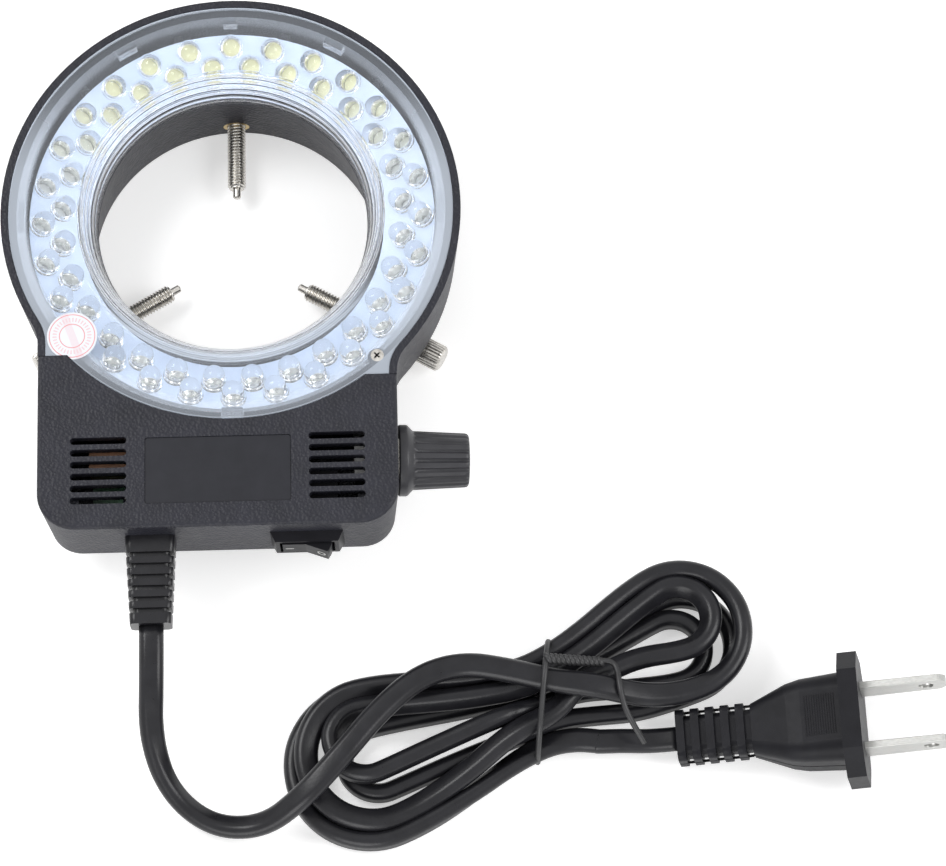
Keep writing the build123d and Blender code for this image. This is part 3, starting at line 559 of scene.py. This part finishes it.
def fluted_knob():
    wall_x = box_right - (front_z - knob_z) * lean
    at = axes((wall_x, knob_y, knob_z), (wall_out, 0, -wall_down), (0, 1, 0))
    steps = [
        (0.4, 6.3, 0), (0.4, 7.2, 0), (0.65, 7.42, 0), (2.0, 7.42, 0), (2.3, 7.3, 0),
        (3.2, 6.35, 0), (3.45, 6.14, 0), (3.7, 6.1, 0.25), (4.3, 6.08, 1), (9.0, 5.84, 1),
        (14.1, 5.6, 1), (14.6, 5.48, 0.9), (14.9, 5.2, 0.6), (15.0, 4.85, 0.2),
        (14.98, 4.3, 0), (14.9, 4.1, 0), (14.9, 1.0, 0),
    ]
    rows, flutes, per = [], 18, 12
    for z, r, cut in steps:
        row = []
        for j in range(flutes * per):
            share = (j % per) / per
            dip = max(0.0, 1 - (abs(share - 0.5) / 0.26) ** 2)
            a = 2 * pi * j / (flutes * per)
            fluted = r - flute_depth * cut * dip
            row.append(at(fluted * cos(a), fluted * sin(a), z))
        rows.append(row)
    verts, faces = grid(rows)
    knob = add_mesh("knob_fluted", verts, faces, KNOB, "dimmer", angle=32)
    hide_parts("dimmer_knob")


fluted_knob()


# cord: one flat twin lead from the relief through the hank to the plug

cord_w = 5.1
cord_t = 3.75
cord_groove = 0.22

lead_points = [
    (-17.3, -87.563, 19.6), (-17.3, -97.542, 18.951), (-18.1, -109.0, 10.9),
    (-14.5, -118.8, 4.9), (-6.0, -125.5, 2.6), (4.6, -126.3, 4.4), (13.2, -122.0, 12.0),
    (21.0, -114.0, 14.0), (29.0, -104.5, 13.9), (37.3, -97.6, 13.9),
    (46.177, -95.293, 13.9), (55.026, -96.933, 13.9),
]
plug_foot = (89.9, -109.5, 3.55)
tail_points = [
    (73.289, -109.717, 3.6), (78.789, -109.669, 3.6), (84.483, -109.68, 2.618), plug_foot,
]

hank_x, hank_y, hank_turn = 61.1, -100.1, radians(22.5)
low_z, high_z = 2.6, 7.8
waist_low, waist_high = 3.9, 9.2


def hank_at(u, v, z):
    # u along the hank, v across it
    x = hank_x + u * cos(hank_turn) - v * sin(hank_turn)
    y = hank_y + u * sin(hank_turn) + v * cos(hank_turn)
    return x, y, z


def lobe(mid_u, mid_v, r, z, side, end_z=None):
    # control points of half a turn, with the straight entry and exit
    parts = 5
    step = pi / parts
    out = r / cos(step / 2)
    reach = r * tan(step / 2)
    fall = (end_z - z if end_z else 0) / (parts + 1)
    points = [(mid_u - side * reach, mid_v - side * r, z)]
    for i in range(parts):
        a = -pi / 2 + (i + 0.5) * step
        u, v = mid_u + side * out * cos(a), mid_v + side * out * sin(a)
        points.append((u, v, z + fall * (i + 1)))
    return points + [(mid_u - side * reach, mid_v + side * r, end_z or z)]


def hank_route():
    # four laps: two large ones and two small ones, in two layers that part at the ends
    route = [(3.4, -0.6, 13.7), (11.4, -5.3, 13.2), (19.9, -10.4, 9.6)]
    route += lobe(32.6, 0.3, 12.9, high_z, 1)
    route += [(7.0, 5.9, waist_high), (-7.0, 5.9, waist_high)]
    route += lobe(-36.2, 2.2, 13.4, high_z, -1, 3.4)
    route += [(-20.0, -9.2, 5.4), (-8.0, -6.0, 9.2), (1.0, -6.0, 9.2)]
    route += [(8.0, -2.2, 9.2), (14.0, -2.0, 8.4), (22.0, -1.6, 7.8)]
    route += lobe(33.1, 2.75, 6.85, high_z, 1)
    route += [(7.0, 1.95, waist_high), (-7.0, 1.95, waist_high)]
    route += lobe(-36.3, 4.8, 7.0, high_z, -1)
    route += [(-24.0, -1.9, 7.9), (-8.0, -2.0, 9.2), (0.0, -2.0, 3.9)]
    route += [(8.0, -2.2, 3.8), (17.0, -5.2, 2.8)]
    route += lobe(29.8, -1.7, 6.8, low_z, 1)
    route += [(7.0, 1.95, waist_low), (-7.0, 1.95, waist_low)]
    route += lobe(-35.0, 1.4, 7.0, low_z, -1)
    route += [(-20.0, -5.5, 2.8), (-8.0, -6.0, 3.6), (2.0, -6.0, 3.8)]
    route += [(10.0, -8.4, 3.2), (18.0, -11.0, low_z)]
    route += lobe(32.2, -1.7, 10.4, low_z, 1)
    route += [(7.0, 5.9, waist_low), (-7.0, 5.9, waist_low)]
    route += lobe(-37.0, 1.0, 16.0, low_z, -1)
    route += [(-20.0, -13.0, 2.8), (-10.0, -10.6, 3.2), (-2.0, -9.9, 3.6)]
    route += [(3.5, -11.2, 3.6), (7.58, -13.4, 3.6)]
    return [hank_at(*p) for p in route]


def fill_spline(spline, points):
    spline.points.add(len(points) - 1)
    for p, co in zip(spline.points, points):
        p.co = (*(Vector(co) * MM), 1)
    spline.order_u = 3


def spline_line(points):
    # points read from the smooth spline that has the route's points as its control points
    curve = bpy.data.curves.new("route", "CURVE")
    curve.dimensions = "3D"
    spline = curve.splines.new("NURBS")
    fill_spline(spline, points)
    spline.use_endpoint_u = True
    spline.resolution_u = 8
    obj = bpy.data.objects.new("route", curve)
    mesh = bpy.data.meshes.new_from_object(obj)
    line = [v.co.copy() for v in mesh.vertices]
    bpy.data.objects.remove(obj)
    bpy.data.meshes.remove(mesh)
    return line


def twin_section():
    # two round cores side by side, drawn in a little between them
    points, r = [], cord_t / 2
    half = cord_w / 2 - r
    for side in (1, -1):
        for i in range(9):
            a = radians(-80 + 160 * i / 8)
            points.append((side * (half + r * cos(a)), side * r * sin(a)))
        points.append((0, side * (r - cord_groove)))
    return points


def flat_cord(name, points, rolls):
    # rolls: control point and the turn of the flat section there, in degrees
    line = spline_line(points)
    at = {}
    for index, roll in rolls:
        target = Vector(points[index]) * MM
        low = max(at) if at else 0
        nearest = min(
            range(low, len(line)),
            key=lambda k: (line[k] - target).length + 0.00002 * (k - low),
        )
        at[nearest] = roll
    marks = sorted(at.items())
    rows, shape = [], twin_section()
    for k, here in enumerate(line):
        ahead = (line[min(k + 1, len(line) - 1)] - line[max(k - 1, 0)]).normalized()
        side = ahead.cross(Vector((0, 0, 1))).normalized()
        up = side.cross(ahead)
        before = [m for m in marks if m[0] <= k][-1:] or marks[:1]
        after = [m for m in marks if m[0] > k][:1] or marks[-1:]
        (k0, a0), (k1, a1) = before[0], after[0]
        share = 0 if k1 == k0 else (k - k0) / (k1 - k0)
        share = max(0.0, min(1.0, share))
        roll = radians(a0 + (a1 - a0) * share * share * (3 - 2 * share))
        wide = side * cos(roll) + up * sin(roll)
        thin = up * cos(roll) - side * sin(roll)
        rows.append([(here + (wide * x + thin * y) * MM) / MM for x, y in shape])
    cord = add_mesh(name, *grid(rows), CORD, "lamp")
    return cord, line


hank_points = hank_route()
cord_points = lead_points + hank_points + tail_points
first, last = len(lead_points), len(lead_points) + len(hank_points) - 1
band = first + 35
cord_rolls = [
    (0, 0), (1, 0), (3, 50), (5, 20), (7, 0), (first + 2, 0), (first + 6, 90),
    (band - 3, 90), (band, 20), (band + 1, 60), (band + 2, 90),
    (last - 5, 90), (last - 1, 0), (last + 2, 0),
]
cord, cord_line = flat_cord("power_cord_flat", cord_points, cord_rolls)
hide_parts("power_cord_lead", "power_cord_hank", "power_cord_tail")


# tie: plastic-covered wire round the waist, twisted on top

def wire_curve(name, splines, radius, finish, body):
    curve = bpy.data.curves.new(name, "CURVE")
    curve.dimensions = "3D"
    curve.bevel_depth = radius * MM
    curve.bevel_resolution = 3
    curve.use_fill_caps = True
    for points, closed in splines:
        spline = curve.splines.new("NURBS")
        fill_spline(spline, points)
        spline.use_cyclic_u = closed
        spline.use_endpoint_u = not closed
        spline.resolution_u = 6
    curve.materials.append(finish)
    obj = bpy.data.objects.new(name, curve)
    bpy.context.scene.collection.objects.link(obj)
    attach(obj, body)
    return obj


tie_x, tie_lean = 62.5, 0.12
tie_r = 0.6
tie_turns = 6


def tie_splines():
    # the loop round the waist, its two twisted strands and one free end
    loop = [
        (-113.4, 3.2), (-113.2, 0.9), (-110.0, 0.7), (-100.0, 0.7), (-92.5, 0.7),
        (-90.2, 1.2), (-90.0, 3.5), (-90.0, 10.4), (-91.0, 13.2), (-94.6, 16.2),
        (-98.0, 17.2), (-101.6, 16.4), (-106.2, 14.2), (-109.6, 12.4), (-112.6, 7.6),
    ]
    splines = [([(tie_x + tie_lean * (y + 100.0), y, z) for y, z in loop], True)]
    start, end = Vector((62.9, -95.6, 16.9)), Vector((74.6, -95.6, 13.2))
    for phase in (0, pi):
        strand = []
        for i in range(40):
            share = i / 39
            a = phase + share * 2 * pi * tie_turns
            middle = start.lerp(end, share)
            strand.append(tuple(middle + Vector((0, cos(a), sin(a))) * tie_r))
        splines.append((strand, False))
    splines.append(([
        (74.0, -95.6, 13.8), (76.0, -95.2, 13.4), (77.6, -96.8, 13.4), (77.9, -101.5, 14.6),
        (79.2, -107.0, 13.0), (82.8, -111.6, 8.6),
    ], False))
    return splines


tie = wire_curve("tie_wire", tie_splines(), tie_r, TIE, "lamp")
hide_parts("cord_tie")


# bare label plate, screw crosses of painted shade, marks of the rocker, seams of painted shade and
# grip of the plug

def label_plate():
    (x0, x1), (y0, y1), (low, high), r = (-17.8, 11.9), (-64.5, -50.4), (29.66, 29.84), 0.5
    corners = (
        (x1 - r, y1 - r, 0), (x0 + r, y1 - r, 90), (x0 + r, y0 + r, 180), (x1 - r, y0 + r, 270),
    )
    outline = []
    for cx, cy, start in corners:
        for i in range(5):
            a = radians(start + 90 * i / 4)
            outline.append((cx + r * cos(a), cy + r * sin(a)))
    rows = [[(x, y, z) for x, y in outline] for z in (low, high)]
    add_mesh("label_bare", *grid(rows), LABEL, "lamp", angle=30)


label_plate()


def strips(name, bars, at, finish, body):
    # flat bars: x, y, width, height, low, high in a local frame
    verts, faces = [], []
    for x, y, w, h, low, high in bars:
        start = len(verts)
        for z in (low, high):
            inset = 0 if z == low else min(w, h) * 0.18
            for a, b in BOX_CORNERS:
                verts.append(at(x + a * (w / 2 - inset), y + b * (h / 2 - inset), z))
        faces.extend(tuple(start + k for k in face) for face in BOX_FACES)
    add_mesh(name, verts, faces, finish, body, smooth=False)


def screw_crosses():
    # dark crosses of painted shade: they stand for the shade in the screws' cross recesses
    long, short, tall = 1.3, 0.24, 0.42
    bars = [(0, 0, long, short, 0, tall), (0, 0, short, long, 0, tall)]
    for k, (x, y) in enumerate(((29.9, -33.3), (-36.0, -27.2))):
        at = axes((x, y, 29.4), (0, 0, 1), (1, 1, 0))
        strips("screw_cross_%d" % k, bars, at, PAINTED_SHADE_DARK, "lamp")


screw_crosses()


def rocker_marks():
    # a plain bar and a plain ring, on the two slopes of the rocker
    rocker_x, rocker_z = 14.76, 18.9
    wall_y = (front_z - rocker_z) * lean + box_low
    at = axes((rocker_x, wall_y, rocker_z), (0, -wall_out, -wall_down), (1, 0, 0))
    tilt, pivot, dip, mark_x = radians(10.0), 0.6, 2.3, 3.3
    low, high = 0.01, 0.05

    def turned_at(x, y, z):
        # the rest pose of the rocker: turned about its pivot
        u, w = x, z - pivot
        return at(u * cos(tilt) - w * sin(tilt), y, pivot + u * sin(tilt) + w * cos(tilt))

    def on_slope(side):
        def at_mark(x, y, z):
            along = side * mark_x + x
            return turned_at(along, y, dip + abs(along) * tan(tilt) + z)
        return at_mark

    strips("mark_bar", [(0, 0, 1.7, 0.36, low, high)], on_slope(-1), WHITE, "rocker")
    slope, n = on_slope(1), 24
    verts, faces = [], []
    for i, (r, z) in enumerate(((1.0, low), (1.0, high), (0.68, high), (0.68, low))):
        near, far = i * n, ((i + 1) % 4) * n
        for j in range(n):
            a, k = 2 * pi * j / n, (j + 1) % n
            verts.append(slope(r * 0.9 * cos(a), r * sin(a), z))
            faces.append((near + j, near + k, far + k, far + j))
    add_mesh("mark_ring", verts, faces, WHITE, "rocker", smooth=False)


rocker_marks()

plug_turn, plug_rise = radians(1.9), radians(9.76)
plug_out = (cos(plug_turn) * cos(plug_rise), sin(plug_turn) * cos(plug_rise), sin(plug_rise))
plug_side = (-sin(plug_turn), cos(plug_turn), 0)


def plug_grips():
    # thirteen thin ribs on each broad face, which rises towards the flange
    rise = (14.4 - 13.2) / 2 / 8.2
    bars = []
    for i in range(13):
        z = 27.0 + i * 0.5
        high = 6.6 + (z - 26.1) * rise
        bars.append((z, 0, 0.24, 8.6, high - 0.1, high + 0.13))
    for side, name in ((1, "plug_grip_top"), (-1, "plug_grip_low")):
        broad = Vector(plug_side).cross(Vector(plug_out)) * -side
        strips(name, bars, axes(plug_foot, broad, plug_out), PLUG, "lamp")


def plug_parting():
    # dark line of painted shade along both narrow sides, where the parting seam is: half widths of
    # the body along its axis
    along = axes(plug_foot, plug_side, plug_out)
    verts, faces = [], []
    edge = [(0.0, 5.5), (15.3, 5.5), (15.5, 5.3), (23.1, 8.2), (26.1, 8.8), (34.2, 9.4)]
    for side in (-1, 1):
        start = len(verts)
        for z, w in edge:
            for h in (-0.09, 0.09):
                verts.append(along(z, h, side * (w + 0.05)))
                verts.append(along(z, h, side * (w - 0.5)))
        for i in range(len(edge) - 1):
            a = start + i * 4
            faces.append((a, a + 2, a + 6, a + 4))
            faces.append((a, a + 4, a + 5, a + 1))
            faces.append((a + 2, a + 3, a + 7, a + 6))
    add_mesh("plug_parting", verts, faces, PAINTED_SHADE_DARK, "lamp", smooth=False)


plug_grips()
plug_parting()


# seal: pink rings and diagonal band, no words

def seal_material():
    p = Paint("seal_print", (0.9, 0.88, 0.86), 0.3)
    x, y, _, _ = p.place()
    x, y = p.math("ADD", x, 32.9), p.math("ADD", y, 27.5)
    r = p.distance(x, y)
    ring, inner = p.near(r, 4.7, 0.1), p.near(r, 2.6, 0.1)
    turn = p.math("ARCTAN2", y, x)
    ticks = p.math("GREATER_THAN", p.math("SINE", p.math("MULTIPLY", turn, 34.0)), 0.1)
    ticks = p.math("MULTIPLY", ticks, p.near(r, 3.6, 0.45))
    across = p.math("ADD", p.math("MULTIPLY", x, 0.94), p.math("MULTIPLY", y, 0.34))
    band = p.math("LESS_THAN", p.math("ABSOLUTE", across), 0.8)
    inked = p.math("MAXIMUM", p.math("MAXIMUM", ring, inner), p.math("MULTIPLY", ticks, 0.45))
    inked = p.math("MAXIMUM", inked, p.math("MULTIPLY", band, 0.22))
    mix = p.node("ShaderNodeMix", data_type="RGBA")
    p.link(inked, mix.inputs["Factor"])
    mix.inputs["A"].default_value = (0.78, 0.8, 0.85, 1)
    mix.inputs["B"].default_value = (0.72, 0.3, 0.32, 1)
    p.link(mix.outputs["Result"], p.shader.inputs["Base Color"])
    p.rough_between(0.25, 0.35, 1.0)
    return p.bump(p.noise(0.8, 2.0), 0.01).mat


seal = frame["nodes"]["seal_sticker"].data
seal.materials.clear()
seal.materials.append(seal_material())


# stage, light, camera

def floor():
    mesh = bpy.data.meshes.new("floor")
    half, z = 3.0, -0.0002
    corners = [(-half, -half, z), (half, -half, z), (half, half, z), (-half, half, z)]
    mesh.from_pydata(corners, [], [(0, 1, 2, 3)])
    mat = bpy.data.materials.new("floor_white")
    mat.use_nodes = True
    tree = mat.node_tree
    shader = tree.nodes["Principled BSDF"]
    shader.inputs["Base Color"].default_value = (0.8, 0.8, 0.8, 1)
    shader.inputs["Roughness"].default_value = 0.9
    shader.inputs["Specular IOR Level"].default_value = 0.0
    shader.inputs["Emission Color"].default_value = (1, 1, 1, 1)
    seen = seen_rays(tree)
    glow = tree.nodes.new("ShaderNodeMath")
    glow.operation = "MULTIPLY"
    glow.inputs[1].default_value = 0.5
    tree.links.new(seen, glow.inputs[0])
    tree.links.new(glow.outputs[0], shader.inputs["Emission Strength"])
    mesh.materials.append(mat)
    obj = bpy.data.objects.new("floor", mesh)
    bpy.context.scene.collection.objects.link(obj)


def seen_rays(tree):
    # the white ground shows straight, in metal and through the clear parts
    path = tree.nodes.new("ShaderNodeLightPath")
    top = tree.nodes.new("ShaderNodeMath")
    top.operation = "MAXIMUM"
    tree.links.new(path.outputs["Is Camera Ray"], top.inputs[0])
    tree.links.new(path.outputs["Is Transmission Ray"], top.inputs[1])
    every = tree.nodes.new("ShaderNodeMath")
    every.operation = "MAXIMUM"
    tree.links.new(top.outputs[0], every.inputs[0])
    tree.links.new(path.outputs["Is Glossy Ray"], every.inputs[1])
    return every.outputs[0]


def world():
    # bright at the horizon, dimmer overhead
    w = bpy.data.worlds.new("studio")
    w.use_nodes = True
    tree = w.node_tree
    back = tree.nodes["Background"]
    back.inputs["Color"].default_value = (1, 1, 1, 1)
    coord = tree.nodes.new("ShaderNodeTexCoord")
    split = tree.nodes.new("ShaderNodeSeparateXYZ")
    tree.links.new(coord.outputs["Generated"], split.inputs[0])
    sky = tree.nodes.new("ShaderNodeMapRange")
    sky.inputs["From Min"].default_value = 0.1
    sky.inputs["From Max"].default_value = 0.8
    sky.inputs["To Min"].default_value = 0.9
    sky.inputs["To Max"].default_value = 0.35
    tree.links.new(split.outputs["Z"], sky.inputs["Value"])
    level = tree.nodes.new("ShaderNodeMath")
    level.operation = "MAXIMUM"
    tree.links.new(sky.outputs["Result"], level.inputs[0])
    tree.links.new(seen_rays(tree), level.inputs[1])
    tree.links.new(level.outputs[0], back.inputs["Strength"])
    bpy.context.scene.world = w


def area(name, place, power):
    # round soft lamp that faces the middle of the part
    data = bpy.data.lights.new(name, "AREA")
    data.shape = "DISK"
    data.size = 0.7
    data.energy = power
    obj = bpy.data.objects.new(name, data)
    obj.location = place
    aim = Vector((0.02, -0.04, 0)) - Vector(place)
    obj.rotation_euler = aim.to_track_quat("-Z", "Y").to_euler()
    bpy.context.scene.collection.objects.link(obj)


def camera():
    # solved from the photograph: focal length and width in pixels, then the pose
    focal_px, width_px, sensor = 4500, 946, 36
    data = bpy.data.cameras.new("camera")
    data.sensor_width = sensor
    data.lens = focal_px / width_px * sensor
    data.clip_start = 0.05
    right = Vector((0.99967, -0.02467, -0.00678))
    down = Vector((-0.02549, -0.93803, -0.34561))
    forward = Vector((0.00216, 0.34567, -0.93835))
    turn = Matrix((right, -down, -forward)).transposed().to_4x4()
    obj = bpy.data.objects.new("camera", data)
    obj.matrix_world = Matrix.Translation((0.04732, -0.36938, 0.89396)) @ turn
    bpy.context.scene.collection.objects.link(obj)
    bpy.context.scene.camera = obj


floor()
world()
area("key", (-0.7, 0.3, 1.1), 9)
area("fill", (0.9, -0.2, 0.7), 6)
area("low", (-0.2, -1.1, 0.35), 4.8)
camera()
bpy.context.scene.view_settings.view_transform = "Standard"
